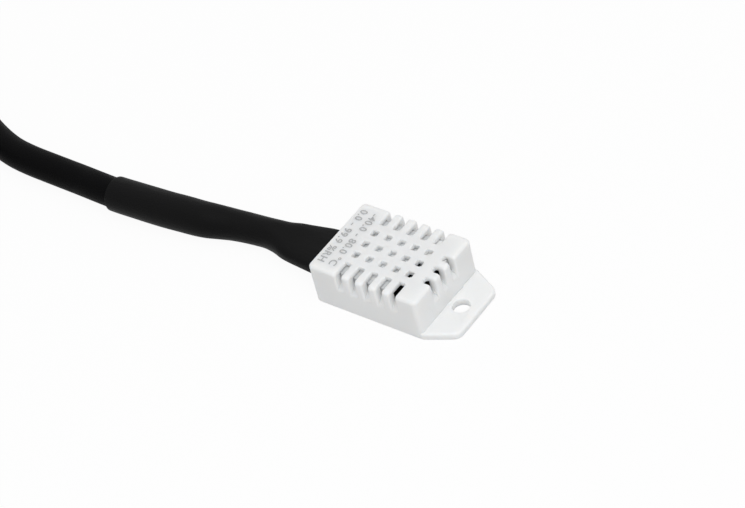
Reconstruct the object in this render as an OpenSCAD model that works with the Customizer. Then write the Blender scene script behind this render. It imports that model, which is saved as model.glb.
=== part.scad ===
// Temperature and humidity sensor head with a mounting ear, on a jacketed three-core lead.
// Millimetres. The back face lies on z = 0, +X points to the ear and +Z out of the grille.

/* [Case] */
// Length of the case without its ear
body_l = 20; // [19.5:0.1:24]
// Width of the case
body_w = 15.1; // [14.8:0.1:20]
// Depth of the case from its back to the grille
body_h = 7.7; // [7.4:0.1:10]
// Thickness of the case's side and end walls
wall_t = 1.3; // [1:0.05:1.4]
// Thickness of the grille wall
grille_t = 0.8; // [0.6:0.05:1.2]
// Radius of the case's four upright corners
corner_r = 0.8; // [0.6:0.05:1]
// Radius round the edge of the grille face
edge_r = 0.5; // [0.3:0.05:0.6]
// Width of the square posts inside the four corners
post_w = 1.4; // [1:0.1:1.8]

/* [Grille] */
// Distance between grille openings, along and across
vent_pitch = 2.5; // [2.3:0.05:2.6]
// Width of a grille opening or side slot
vent_w = 1.08; // [0.8:0.02:1.2]
// Bevel round each opening
vent_bevel = 0.18; // [0.05:0.01:0.25]
// How far the grille is set from the middle towards the ear
vent_shift = 0.7; // [0.4:0.05:0.9]
// Width of wall that each long side's slots reach in from
side_slot_reach = 3.1; // [2.6:0.05:3.2]
// Height at which the floor of the slots in the long sides meets the outside
side_slot_floor = 4.2; // [3.6:0.05:5.4]
// Length of the ear-end slots on the grille face
end_slot_reach = 1.75; // [1.2:0.05:1.9]
// Height at which the floor of the ear-end slots meets the outside
end_slot_floor = 3.8; // [3.2:0.05:5]

/* [Ear] */
// Length of the ear beyond the case
ear_l = 5.1; // [4.6:0.1:7]
// Width of the ear at its tip, before its corners are rounded
ear_tip_w = 10.2; // [8:0.1:12]
// Thickness of the ear
ear_t = 1.3; // [1:0.05:2]
// Radius of the ear's two corners
ear_corner_r = 1.75; // [1:0.05:2.2]
// Diameter of the screw hole
ear_hole_d = 2.8; // [2.5:0.1:3.2]
// Distance of the screw hole from the case
ear_hole_out = 2.05; // [1.9:0.05:2.6]

/* [Back and board] */
// Thickness of the back cover
cover_t = 1; // [0.8:0.05:1.1]
// Gap all round the back cover
cover_gap = 0.1; // [0.05:0.01:0.2]
// Thickness of the circuit board
board_t = 0.8; // [0.6:0.05:0.9]
// Height of the top of the circuit board
board_top = 2.15; // [2.1:0.05:2.3]
// Gap between the circuit board and the case
board_gap = 0.4; // [0.3:0.05:0.6]

/* [Pins] */
// Distance between pins
pin_pitch = 2.54; // [2.5:0.01:2.6]
// Thickness of a square pin
pin_w = 0.5; // [0.4:0.02:0.56]
// Length of a pin outside the case
pin_out = 3; // [2.4:0.1:3.2]
// Gap round a pin in the case wall
pin_gap = 0.1; // [0.05:0.01:0.15]

/* [Humidity element] */
// Gap between the ceramic plate and each side of the case
plate_side = 0.2; // [0.15:0.05:0.6]
// Room between the holder's legs and each side of the case, for the bead and the small parts
side_room = 1.35; // [1.25:0.05:1.6]
// Gap between the pin header and the element's straps
element_gap = 0.25; // [0.15:0.05:0.6]
// Room between the controller's leads and the ear end of the board
chip_end_gap = 0.55; // [0.3:0.05:0.8]
// Thickness of the ceramic plate
plate_t = 0.6; // [0.4:0.05:0.7]
// Gap between the grille and the ceramic plate
plate_gap = 0.15; // [0.15:0.05:0.6]

/* [Boot] */
// Width of the boot where it covers the pins
boot_flat_w = 9.1; // [9:0.1:9.8]
// Thickness of the boot where it covers the pins
boot_flat_h = 2.8; // [2.6:0.1:3]
// Diameter of the boot's neck, between the pins and the cable
boot_neck_d = 4.9; // [4.6:0.02:5]
// Diameter of the boot over the cable
boot_d = 5.94; // [5.86:0.02:6.4]

/* [Cable] */
// Diameter of the cable's jacket
cable_d = 5; // [4.7:0.1:5.1]
// Diameter of an insulated core
core_d = 1.2; // [1:0.05:1.3]
// Length of the straight runs in the hank
hank_run = 25; // [20:1:40]
// Gap between the turns of the hank
hank_gap = 0.55; // [0.54:0.01:1]
// Turns in each layer of the hank
hank_turns = 1.25; // [1.25:1:3.25]
// Length of the tinned end of a lead
tip_l = 5; // [3:0.5:8]

/* [Hidden] */
$fn = 48;
eps = 0.01;
half_l = body_l / 2;
half_w = body_w / 2;
pin_z = board_top + pin_w / 2;
pin_rows = [1.5, 0.5, -0.5, -1.5] * pin_pitch;
columns = [-2, -1, 0, 1, 2] * vent_pitch;
rows = [-1, 0, 1] * vent_pitch;

// Inside the case
inner_l = body_l - 2 * wall_t;
inner_w = body_w - 2 * wall_t;
board_l = inner_l - 2 * board_gap;
board_w = inner_w - 2 * board_gap;
cover_l = inner_l - 2 * cover_gap;
cover_w = inner_w - 2 * cover_gap;
board_post_d = 1.6;
board_post_in = 2.4;

// Pin header and its joints on the board
header_l = 2.4;
header_side_gap = 0.14;
header_w = inner_w - 2 * (post_w + header_side_gap);
header_h = 2.25;
header_x = -board_l / 2 + 0.1;
header_gap = 0.02;
pin_inside = 1.3;
pin_end = header_x + header_l + pin_inside;
bump_l = 1;
bump_w = 0.5;
bump_h = 0.35;

// Controller, at the board's ear end
chip_l = 3.9;
chip_w = 8.65;
chip_foot = 0.2;
chip_h = 1.55;
chip_lead_count = 7;
chip_lead_step = 1.27;
chip_lead_w = 0.4;
chip_lead_t = 0.2;
chip_lead_out = 1.05;
chip_lead_z = 0.85;
chip_x = board_l / 2 - chip_end_gap - chip_lead_out - chip_l / 2;
chip_gap = 0.15;

// Humidity element, between the pin header and the controller
holder_t = 0.8;
holder_rim = 1;
holder_side_in = 0.2;
holder_leg_d = 1.2;
holder_leg_in = 2.2;
holder_past = 0.4;
holder_leg_y = inner_w / 2 - side_room - holder_leg_d / 2;
wing_gap = 0.3;
wing_near = 1.6;
wing_far = inner_w / 2 - post_w - wing_gap;
strap_w = 0.5;
strap_t = 0.1;
strap_tab = 0.9;
holder_start = header_x + header_l + element_gap + strap_t;
holder_l = vent_shift + vent_pitch + holder_past - holder_start;
holder_legs_x = [holder_start + holder_leg_in, chip_x - chip_l / 2 - chip_gap - holder_leg_in];
plate_in = 0.1;
plate_l = holder_l - 2 * plate_in;
plate_w = inner_w - 2 * plate_side;
plate_top = body_h - grille_t - plate_gap;
plate_x = holder_start + holder_l / 2;
plate_z = plate_top - plate_t;
film_t = 0.05;
track_w = 0.3;
track_t = 0.05;
track_count = 9;
track_in = 1.2;
track_step = (plate_l - 2 * track_in) / (track_count - 1);

// Temperature element, in the room beside the plate
bead_gap = 0.225;
bead_d = side_room - 2 * bead_gap;
bead_h = 1.45;
bead_head = 0.7;
bead_foot = plate_z - holder_t - bead_head - bead_h - board_top;
bead_x = plate_x + 0.45;
bead_y = side_room / 2 - inner_w / 2;
bead_lead_d = 0.3;
bead_lead_step = 0.6;

// Small parts, in the room on the plate's other side
small_l = 1.6;
small_w = 0.8;
small_y = inner_w / 2 - side_room / 2;
small_in = 1.5;
small_first = holder_start + small_in;
small_step = (chip_x + small_in - small_first) / 4;
resistor_h = 0.45;
resistor_places = [for (i = [0 : 2]) small_first + i * small_step];
capacitor_h = 0.8;
capacitor_places = [for (i = [3, 4]) small_first + i * small_step];

// Wire joints on three of the four pins
joint_l = 2.3;
joint_h = 0.8;
joint_side = 0.4;
joint_out = pin_out + 0.9;

// Boot: distance out from the case, sideways, half width, half height and wall
flat = boot_flat_w / 2;
thin = boot_flat_h / 2;
neck = boot_neck_d / 2;
full = boot_d / 2;
boot_flat_wall = 0.3;
boot_full_wall = 0.32;
boot_sides = 20;
boot_stations = [
    [0, 0, flat, thin, boot_flat_wall],
    [2, 0, flat - 0.05, thin, boot_flat_wall],
    [4, 0, flat - 0.2, thin, boot_flat_wall],
    [6.5, -0.15, flat - 0.55, thin + 0.05, boot_flat_wall],
    [8, -0.25, flat - 0.8, thin + 0.2, boot_flat_wall],
    [9.5, -0.3, flat - 1.1, thin + 0.45, boot_flat_wall],
    [11, -0.35, flat - 1.6, thin + 0.7, boot_flat_wall],
    [12.5, -0.35, neck + 0.18, neck - 0.07, boot_full_wall],
    [14, -0.45, neck, neck, boot_full_wall],
    [16, -0.66, neck, neck, boot_full_wall],
    [18, -0.93, neck + 0.04, neck + 0.04, boot_full_wall],
    [20, -1.3, neck + 0.11, neck + 0.11, boot_full_wall],
    [22, -1.82, full - 0.26, full - 0.26, boot_full_wall],
    [24, -2.37, full - 0.1, full - 0.1, boot_full_wall],
    [26, -2.72, full - 0.04, full - 0.04, boot_full_wall],
    [29, -3.02, full, full, boot_full_wall],
    [32, -3.32, full, full, boot_full_wall],
    [35, -3.52, full, full, boot_full_wall],
    [38, -3.67, full - 0.02, full - 0.02, boot_full_wall],
    [41, -3.82, full - 0.04, full - 0.04, boot_full_wall],
    [42.7, -3.86, full - 0.06, full - 0.06, boot_full_wall],
];

// Cable: distance out from the case, sideways, and lift above lying on the floor
jacket_r = cable_d / 2;
in_boot = full - jacket_r;
hank_lift = 0.6;
cable_sides = 12;
cable_route = [
    [24, -2.37, in_boot - 0.1],
    [26, -2.72, in_boot - 0.04],
    [29, -3.02, in_boot],
    [32, -3.32, in_boot],
    [35, -3.52, in_boot],
    [38, -3.67, in_boot - 0.02],
    [41, -3.82, in_boot - 0.04],
    [42.7, -3.86, in_boot - 0.06],
    [46.5, -3.72, 0.3],
    [50, -3.45, 0.05],
    [54, -3.36, 0],
    [58, -3.3, 0],
    [62, -3.2, 0],
    [66, -2.8, 0],
    [70, -1.8, 0.05],
    [74.5, -0.1, 0.15],
    [79, 2, 0.3],
    [83.5, 4, 0.45],
    [87, 5.1, 0.55],
    [89, 5.3, hank_lift],
    [93.5, 5.3, hank_lift],
];
cable_path = [for (p = cable_route) [-half_l - p[0], p[1], jacket_r + p[2]]];

// Cores inside the boot: distance out from the case, sideways, and up from the pins
core_sides = 8;
red_route = [
    [joint_out, 1.5 * pin_pitch - pin_w / 2 - joint_side, 0],
    [5, 3.05, 0],
    [6.5, 2.75, 0.02],
    [8, 2.3, 0.08],
    [9.5, 1.7, 0.18],
    [11, 1.1, 0.3],
    [12.5, 0.6, 0.4],
    [14, 0.36, 0.43],
    [17, 0.02, 0.43],
    [20, -0.45, 0.5],
    [22, -0.95, 0.63],
    [24, -1.5, 0.78],
];
yellow_route = [
    [joint_out, 0.5 * pin_pitch - pin_w / 2 - joint_side, 0],
    [5, 0.55, -0.02],
    [6.5, 0.4, -0.1],
    [8, 0.2, -0.25],
    [9.5, 0, -0.42],
    [11, -0.2, -0.6],
    [12.5, -0.32, -0.76],
    [14, -0.4, -0.82],
    [17, -0.74, -0.82],
    [20, -1.2, -0.78],
    [22, -1.7, -0.66],
    [24, -2.25, -0.51],
];
black_route = [
    [joint_out, -1.5 * pin_pitch + pin_w / 2 + joint_side, 0],
    [5, -3.1, 0],
    [6.5, -2.85, 0.02],
    [8, -2.5, 0.08],
    [9.5, -2.1, 0.18],
    [11, -1.7, 0.3],
    [12.5, -1.3, 0.4],
    [14, -1.14, 0.43],
    [17, -1.48, 0.43],
    [20, -1.95, 0.5],
    [22, -2.45, 0.63],
    [24, -3, 0.78],
];

// Hank: turns that spiral in on the floor, climb a layer, and spiral out again
loop_rings = 24;
bend_steps = 9;
run_steps = 3;
hank_sides = 6;
hank_inner_r = 3 * cable_d;
hank_pitch = cable_d + hank_gap;
hank_outer_r = hank_inner_r + hank_turns * hank_pitch;
hank_steps = 2 * hank_turns * loop_rings;
climb_steps = loop_rings / 2;
hank_in = cable_path[len(cable_path) - 1];
hank_x = hank_in[0] - cable_d;
hank_y = hank_in[1] - hank_outer_r;
hank_out = hank_point(hank_steps) + [cable_d, 0, 0];
hank_path = concat([hank_in], [for (i = [0 : hank_steps]) hank_point(i)], [hank_out]);

// Tail of the cable: distance on from the hank's last turn, sideways, and down towards the floor
tail_route = [[0, 0, 0], [6, -0.25, 0.2], [12, -0.5, 0.8], [18, -0.8, 1.7], [23, -0.9, 2.5]];
tail_path = [for (p = tail_route) hank_out + [p[0], p[1], -p[2]]];
tail_end = tail_path[len(tail_path) - 1];

// Leads at the stripped end, from their places in the jacket's end: along, sideways, and height
lead_r = core_d / 2;
lead_drop = tail_end[2] - lead_r;
red_lead = [
    [0, 0.74, lead_drop + 0.43],
    [3, 0.8, lead_drop + 0.35],
    [6, 1.3, lead_drop - 0.3],
    [9, 2.2, lead_drop - 1.5],
    [12, 3.2, lead_drop - 2.9],
    [15, 4.2, lead_drop - 4],
    [18.5, 5.2, 0.1],
    [22, 5.9, 0],
    [26, 6.3, 0],
    [30, 6.2, 0],
    [32, 6.1, 0],
];
yellow_lead = [
    [0, 0, lead_drop - 0.85],
    [3, 0, lead_drop - 1],
    [6, 0.1, lead_drop - 1.7],
    [9, 0.5, lead_drop - 2.7],
    [12, 1, lead_drop - 3.6],
    [15, 1.6, lead_drop - 4.3],
    [18.5, 2.2, 0.05],
    [22, 2.6, 0],
    [27, 2.8, 0],
    [31, 2.6, 0],
    [33, 2.4, 0],
];
black_lead = [
    [0, -0.74, lead_drop + 0.43],
    [3, -0.75, lead_drop + 0.3],
    [6, -0.8, lead_drop - 0.4],
    [9, -0.85, lead_drop - 1.6],
    [12, -0.9, lead_drop - 3],
    [15, -0.9, lead_drop - 4.1],
    [18.5, -0.8, 0.1],
    [22, -0.6, 0],
    [26, -0.5, 0],
    [30, -0.6, 0],
    [32, -0.8, 0],
];
tip_d = core_d * 0.6;

// Tie round the hank
tie_w = 4;
tie_t = 0.4;
tie_gap = 0.1;
tie_x = hank_x - hank_run / 2;
tie_strands = [for (turn = [0, 1, 2]) hank_point(turn * loop_rings + run_steps / 2)];

// Shapes that several pieces share
function unit(v) = v / norm(v);
// The way that a path runs at point i. Its two ends are square to X, because there it meets a flat end.
function along(path, i) =
    let (last = len(path) - 1, step = path[min(i + 1, last)] - path[max(i - 1, 0)])
    i == 0 || i == last ? [sign(step[0]), 0, 0] : unit(step);
function ring(path, i, r, sides) =
    let (t = along(path, i), side = unit(cross(t, [0, 0, 1])), rise = cross(side, t))
    [for (k = [0 : sides - 1]) path[i] + r * cos(360 * k / sides) * side + r * sin(360 * k / sides) * rise];
function bulge(c, n) = sign(c) * pow(abs(c), 2 / n);

// A closed skin over rings of points, all with the same number of points
module skin(rings) {
    n = len(rings);
    sides = len(rings[0]);
    last = (n - 1) * sides;
    walls = [for (i = [0 : n - 2], k = [0 : sides - 1], upper = [0, 1])
        let (a = i * sides + k, b = i * sides + (k + 1) % sides)
        upper == 0 ? [a, b, b + sides] : [a, b + sides, a + sides]];
    first_cap = [for (k = [1 : sides - 2]) [0, k + 1, k]];
    last_cap = [for (k = [1 : sides - 2]) [last, last + k, last + k + 1]];
    polyhedron([for (r = rings) each r], concat(walls, first_cap, last_cap));
}

module tube(path, d, sides) {
    skin([for (i = [0 : len(path) - 1]) ring(path, i, d / 2, sides)]);
}

module rounded_rect(l, w, r) {
    square([l - 2 * r, w], center = true);
    square([l, w - 2 * r], center = true);
    for (sx = [-1, 1], sy = [-1, 1])
        translate([sx * (l / 2 - r), sy * (w / 2 - r)]) circle(r);
}

// Side view of the case: square below, round at its two upper corners
module case_profile(l) {
    translate([-l / 2, 0]) square([l, body_h - edge_r]);
    translate([edge_r - l / 2, 0]) square([l - 2 * edge_r, body_h]);
    for (s = [-1, 1])
        translate([s * (l / 2 - edge_r), body_h - edge_r]) circle(edge_r);
}

// Bevel at the mouth of an opening of size l by w, whose mouth is at z = 0
module bevel(l, w) {
    b = vent_bevel;
    intersection() {
        rotate([90, 0, 0])
            linear_extrude(w + 4 * b, center = true)
                polygon([[-l / 2, -b], [l / 2, -b], [l / 2 + 2 * b, b], [-l / 2 - 2 * b, b]]);
        rotate([90, 0, 90])
            linear_extrude(l + 4 * b, center = true)
                polygon([[-w / 2, -b], [w / 2, -b], [w / 2 + 2 * b, b], [-w / 2 - 2 * b, b]]);
    }
}

// A slot over an edge: it starts reach in from the face at x = 0, and its floor falls to floor_z there
module edge_slot(reach, floor_z) {
    over = 1;
    top = body_h + over;
    lip = floor_z + 2 * vent_bevel;
    fall = wall_t + vent_bevel;
    rotate([90, 0, 0])
        linear_extrude(vent_w, center = true)
            polygon([[over, floor_z - over], [-fall, floor_z + fall], [-reach, floor_z + fall],
                [-reach, top], [over, top]]);
    translate([(over - reach) / 2, 0, body_h]) bevel(reach + over, vent_w);
    translate([0, 0, (lip + top) / 2]) rotate([0, 90, 0]) bevel(top - lip, vent_w);
}

module case_outside() {
    intersection() {
        linear_extrude(body_h) rounded_rect(body_l, body_w, corner_r);
        rotate([90, 0, 0]) linear_extrude(2 * body_w, center = true) case_profile(body_l);
        rotate([90, 0, 90]) linear_extrude(2 * body_l, center = true) case_profile(body_w);
    }
}

module case_inside() {
    top = body_h - grille_t;
    translate([-inner_l / 2, -inner_w / 2, -1]) cube([inner_l, inner_w, cover_t + 1]);
    difference() {
        translate([-inner_l / 2, -inner_w / 2, 0]) cube([inner_l, inner_w, top]);
        for (sx = [-1, 1], sy = [-1, 1])
            translate([sx * (inner_l - post_w) / 2, sy * (inner_w - post_w) / 2, cover_t + body_h / 2])
                cube([post_w + eps, post_w + eps, body_h], center = true);
    }
}

module ear() {
    slope = unit([ear_l, (ear_tip_w - body_w) / 2]);
    out = [-slope[1], slope[0]];
    tip_x = half_l + ear_l;
    cx = tip_x - ear_corner_r;
    cy = ear_tip_w / 2 - ear_corner_r * (1 - out[0]) / out[1];
    tx = cx + ear_corner_r * out[0];
    ty = cy + ear_corner_r * out[1];
    root_x = half_l - wall_t / 2;
    linear_extrude(ear_t) difference() {
        union() {
            polygon([[root_x, -half_w], [half_l, -half_w], [tx, -ty], [tip_x, -cy],
                [tip_x, cy], [tx, ty], [half_l, half_w], [root_x, half_w]]);
            for (s = [-1, 1])
                translate([cx, s * cy]) circle(ear_corner_r);
        }
        translate([half_l + ear_hole_out, 0]) circle(d = ear_hole_d);
    }
}

module front_shell() {
    color([0.9, 0.91, 0.92]) {
        difference() {
            case_outside();
            case_inside();
            for (x = columns, y = rows)
                translate([vent_shift + x, y, body_h]) {
                    cube([vent_w, vent_w, 4 * grille_t], center = true);
                    bevel(vent_w, vent_w);
                }
            for (x = columns, s = [-1, 1])
                translate([vent_shift + x, s * half_w, 0]) rotate([0, 0, s * 90])
                    edge_slot(side_slot_reach, side_slot_floor);
            for (y = rows)
                translate([half_l, y, 0]) edge_slot(end_slot_reach, end_slot_floor);
            for (y = pin_rows)
                translate([-half_l, y, pin_z])
                    cube([4 * wall_t, pin_w + 2 * pin_gap, pin_w + 2 * pin_gap], center = true);
        }
        ear();
    }
}

module back_cover() {
    post_x = board_l / 2 - board_post_in;
    post_y = board_w / 2 - board_post_in;
    color([0.88, 0.89, 0.9]) {
        translate([-cover_l / 2, -cover_w / 2, 0]) cube([cover_l, cover_w, cover_t]);
        for (sx = [-1, 1], sy = [-1, 1])
            translate([sx * post_x, sy * post_y, cover_t - eps])
                cylinder(d = board_post_d, h = board_top - board_t - cover_t + eps);
    }
}

module circuit_board() {
    color([0.88, 0.89, 0.87])
        translate([0, 0, board_top - board_t]) linear_extrude(board_t) difference() {
            square([board_l, board_w], center = true);
            for (sx = [-1, 1], sy = [-1, 1])
                translate([sx * board_l / 2, sy * board_w / 2]) square(2 * post_w, center = true);
        }
}

module pin_header() {
    hole = pin_w + 2 * header_gap;
    color([0.92, 0.92, 0.9]) difference() {
        translate([header_x, -header_w / 2, board_top]) cube([header_l, header_w, header_h]);
        for (y = pin_rows)
            translate([header_x + header_l / 2, y, pin_z - header_gap])
                cube([2 * header_l, hole, hole + 2 * header_gap], center = true);
    }
}

module pin(number) {
    start = -half_l - pin_out;
    color([0.8, 0.8, 0.78])
        translate([start, pin_rows[number - 1] - pin_w / 2, board_top])
            cube([pin_end - start, pin_w, pin_w]);
}

module board_solder() {
    color([0.75, 0.76, 0.78])
        for (y = pin_rows)
            translate([pin_end - bump_l + 0.2, y, board_top]) difference() {
                translate([0, -pin_w / 2 - bump_w / 2, 0]) cube([bump_l, pin_w + bump_w, bump_h]);
                translate([-bump_l, -pin_w / 2, -1]) cube([2 * bump_l - 0.2, pin_w, 2]);
            }
}

// A frame on four legs, with a wing at the plate's level over the far part of the controller
module element_frame() {
    w = plate_w - 2 * holder_side_in;
    end_x = plate_x + holder_l / 2;
    color([0.92, 0.92, 0.9]) {
        translate([plate_x, 0, plate_z - holder_t]) linear_extrude(holder_t) difference() {
            square([holder_l, w], center = true);
            square([holder_l - 2 * holder_rim, 2 * holder_leg_y - holder_leg_d], center = true);
        }
        translate([end_x - holder_rim, wing_near, plate_z - holder_t])
            cube([inner_l / 2 - wing_gap - end_x + holder_rim, wing_far - wing_near, holder_t]);
        translate([end_x, wing_near, plate_z - holder_t])
            cube([inner_l / 2 - wing_gap - end_x, wing_far - wing_near, holder_t + plate_t]);
        translate([end_x, wing_near, plate_z - holder_t])
            cube([inner_l / 2 - post_w - wing_gap - end_x, plate_w / 2 - wing_near, holder_t + plate_t]);
        for (x = holder_legs_x, sy = [-1, 1])
            translate([x, sy * holder_leg_y, board_top])
                cylinder(d = holder_leg_d, h = plate_z - board_top - holder_t / 2);
    }
}

module humidity_substrate() {
    color([0.95, 0.95, 0.93])
        translate([plate_x - plate_l / 2, -plate_w / 2, plate_z]) cube([plate_l, plate_w, plate_t]);
}

// Two combs whose fingers pass between each other
module humidity_electrodes() {
    span = (track_count - 1) * track_step + track_w;
    reach = plate_w / 2 - 1;
    color([0.74, 0.74, 0.72])
        translate([plate_x, 0, plate_top]) {
            for (s = [-1, 1])
                translate([-span / 2, s * reach - track_w / 2, 0]) cube([span, track_w, track_t]);
            for (i = [0 : track_count - 1])
                translate([i * track_step - span / 2, i % 2 == 0 ? -reach : -reach + 2 * track_w, 0])
                    cube([track_w, 2 * reach - 2 * track_w, track_t]);
        }
}

module sensing_film() {
    film_l = (track_count - 1) * track_step;
    color([0.8, 0.85, 0.9, 0.5])
        translate([plate_x - film_l / 2, -plate_w / 2 + 1.5, plate_top + track_t])
            cube([film_l, plate_w - 3, film_t]);
}

module element_leads() {
    color([0.8, 0.8, 0.78])
        for (s = [-1, 1])
            translate([holder_start - strap_t, s * pin_pitch - strap_w / 2, 0]) {
                translate([0, 0, board_top]) cube([strap_t, strap_w, plate_top - board_top + strap_t]);
                translate([0, 0, plate_top]) cube([strap_tab + strap_t, strap_w, strap_t]);
            }
}

module thermistor_bead() {
    color([0.08, 0.08, 0.08])
        translate([bead_x, bead_y, board_top + bead_foot]) {
            cylinder(d = bead_d, h = bead_h - bead_d / 2);
            translate([0, 0, bead_h - bead_d / 2]) sphere(d = bead_d);
        }
}

module thermistor_leads() {
    color([0.8, 0.8, 0.78])
        for (s = [-1, 1])
            translate([bead_x + s * bead_lead_step / 2, bead_y, board_top])
                cylinder(d = bead_lead_d, h = bead_foot);
}

module controller_chip() {
    color([0.07, 0.07, 0.08])
        translate([chip_x - chip_l / 2, -chip_w / 2, board_top + chip_foot]) cube([chip_l, chip_w, chip_h]);
}

// One bent lead: a foot on the board, a riser, and a shoulder into the chip's side at x = 0
module chip_lead() {
    t = chip_lead_t;
    riser = 0.35;
    translate([0, -chip_lead_w / 2, chip_lead_z]) cube([riser + t, chip_lead_w, t]);
    translate([riser, -chip_lead_w / 2, 0]) cube([t, chip_lead_w, chip_lead_z + t]);
    translate([riser, -chip_lead_w / 2, 0]) cube([chip_lead_out - riser, chip_lead_w, t]);
}

module controller_leads() {
    first = (chip_lead_count - 1) / 2 * chip_lead_step;
    color([0.8, 0.8, 0.78])
        for (s = [0, 1], i = [0 : chip_lead_count - 1])
            translate([chip_x, i * chip_lead_step - first, board_top]) mirror([s, 0, 0])
                translate([chip_l / 2, 0, 0]) chip_lead();
}

module chip_capacitors() {
    color([0.7, 0.6, 0.45])
        for (x = capacitor_places)
            translate([x - small_l / 2, small_y - small_w / 2, board_top]) cube([small_l, small_w, capacitor_h]);
}

module chip_resistors() {
    color([0.1, 0.1, 0.1])
        for (x = resistor_places)
            translate([x - small_l / 2, small_y - small_w / 2, board_top]) cube([small_l, small_w, resistor_h]);
}

// A tinned wire end against the inner face of a pin, at y = 0, on its side towards +Y
module solder_joint() {
    rotate([0, 90, 0]) linear_extrude(joint_l) {
        translate([-joint_h / 2, 0]) square([joint_h, joint_side]);
        translate([0, joint_side]) circle(d = joint_h);
    }
}

module solder_joints() {
    x = -half_l - joint_out;
    color([0.75, 0.76, 0.78]) {
        for (i = [0, 1])
            translate([x, pin_rows[i] - pin_w / 2, pin_z]) mirror([0, 1, 0]) solder_joint();
        translate([x, pin_rows[3] + pin_w / 2, pin_z]) solder_joint();
    }
}

module core(route) {
    tube([for (p = route) [-half_l - p[0], p[1], pin_z + p[2]]], core_d, core_sides);
}

module core_red() {
    color([0.75, 0.1, 0.08]) core(red_route);
}

module core_yellow() {
    color([0.9, 0.75, 0.1]) core(yellow_route);
}

module core_black() {
    color([0.06, 0.06, 0.06]) core(black_route);
}

// The boot's outline at one station, or its bore's outline, which is smaller by the wall
function boot_ring(station, inset, shift) =
    let (a = station[2] - inset, b = station[3] - inset, n = min(3.5, 2 + 0.7 * (a / b - 1)))
    [for (k = [0 : boot_sides - 1])
        let (angle = 360 * k / boot_sides)
        [-half_l - station[0] - shift, station[1] + a * bulge(cos(angle), n),
            max(pin_z, station[3]) + b * bulge(sin(angle), n)]];

module boot() {
    final = len(boot_stations) - 1;
    past = 0.1;
    color([0.08, 0.08, 0.085]) difference() {
        skin([for (s = boot_stations) boot_ring(s, 0, 0)]);
        skin(concat([boot_ring(boot_stations[0], boot_flat_wall, -past)],
            [for (s = boot_stations) boot_ring(s, s[4], 0)],
            [boot_ring(boot_stations[final], boot_full_wall, past)]));
    }
}

module cable_run() {
    color([0.05, 0.05, 0.055]) tube(cable_path, cable_d, cable_sides);
}

// One point of the hank's line, i steps along: a run, a bend, a run back and a bend
function hank_step_x(j) =
    j < run_steps ? -hank_run * j / run_steps :
    j < run_steps + bend_steps ? -hank_run :
    j < 2 * run_steps + bend_steps ? -hank_run * (2 * run_steps + bend_steps - j) / run_steps : 0;
function hank_angle(j) =
    j < run_steps ? 90 :
    j < run_steps + bend_steps ? 90 + 180 * (j - run_steps) / bend_steps :
    j < 2 * run_steps + bend_steps ? 270 : 270 + 180 * (j - 2 * run_steps - bend_steps) / bend_steps;
function climb(share) = let (s = max(0, min(1, share))) s * s * (3 - 2 * s);
function hank_point(i) =
    let (j = i % loop_rings, middle = hank_steps / 2, turn = abs(i - middle) / loop_rings,
        r = hank_inner_r + turn * hank_pitch,
        layer = climb((i - middle + climb_steps / 2) / climb_steps))
    [hank_x + hank_step_x(j) + r * cos(hank_angle(j)), hank_y + r * sin(hank_angle(j)),
        hank_in[2] + layer * hank_pitch];

// Least gap between the hank's turns, from each point to the stretches half a turn away and more
function to_stretch(p, a, b) =
    let (d = b - a, s = max(0, min(1, (p - a) * d / (d * d)))) norm(p - a - s * d);
hank_points = len(hank_path);
hank_least_gap = min([for (i = [0 : hank_points - 1], k = [0 : hank_points - 2])
    if (abs(i - k) > loop_rings / 2 && abs(i - k - 1) > loop_rings / 2)
        to_stretch(hank_path[i], hank_path[k], hank_path[k + 1])]) - cable_d;
echo(str("Hank: least gap to itself ", hank_least_gap, " mm"));

function length_of(path) = len(path) < 2 ? 0 :
    [for (i = [0 : len(path) - 2]) norm(path[i + 1] - path[i])] * [for (i = [0 : len(path) - 2]) 1];
echo(str("Cable: length ", length_of(cable_path) + length_of(hank_path) + length_of(tail_path), " mm"));

module cable_hank() {
    color([0.05, 0.05, 0.055]) tube(hank_path, cable_d, hank_sides);
}

module cable_tail() {
    color([0.05, 0.05, 0.055]) tube(tail_path, cable_d, cable_sides);
}

// A strap round the three strands of the hank's first run, whose end lies on itself at the top
module tie_outline(past) {
    hull()
        for (p = tie_strands)
            translate([p[1], p[2]]) circle(jacket_r + past);
}

module hank_tie() {
    top = tie_strands[2];
    lap = tie_gap + tie_t;
    color([0.85, 0.85, 0.85])
        translate([tie_x - tie_w / 2, 0, 0]) rotate([90, 0, 90]) linear_extrude(tie_w) {
            difference() {
                tie_outline(lap);
                tie_outline(tie_gap);
            }
            intersection() {
                difference() {
                    tie_outline(lap + tie_t);
                    tie_outline(lap - eps);
                }
                translate([top[1], top[2]]) square(cable_d);
            }
        }
}

function lead_path(route) =
    [for (p = route) [tail_end[0] + p[0], tail_end[1] + p[1], lead_r + p[2]]];

module lead(route) {
    tube(lead_path(route), core_d, core_sides);
}

module tip(route) {
    path = lead_path(route);
    end = path[len(path) - 1];
    tube([end, end + tip_l * along(path, len(path) - 1)], tip_d, core_sides);
}

module lead_red() {
    color([0.75, 0.1, 0.08]) lead(red_lead);
}

module lead_yellow() {
    color([0.9, 0.75, 0.1]) lead(yellow_lead);
}

module lead_black() {
    color([0.06, 0.06, 0.06]) lead(black_lead);
}

module tip_red() {
    color([0.75, 0.76, 0.78]) tip(red_lead);
}

module tip_yellow() {
    color([0.75, 0.76, 0.78]) tip(yellow_lead);
}

module tip_black() {
    color([0.75, 0.76, 0.78]) tip(black_lead);
}

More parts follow.
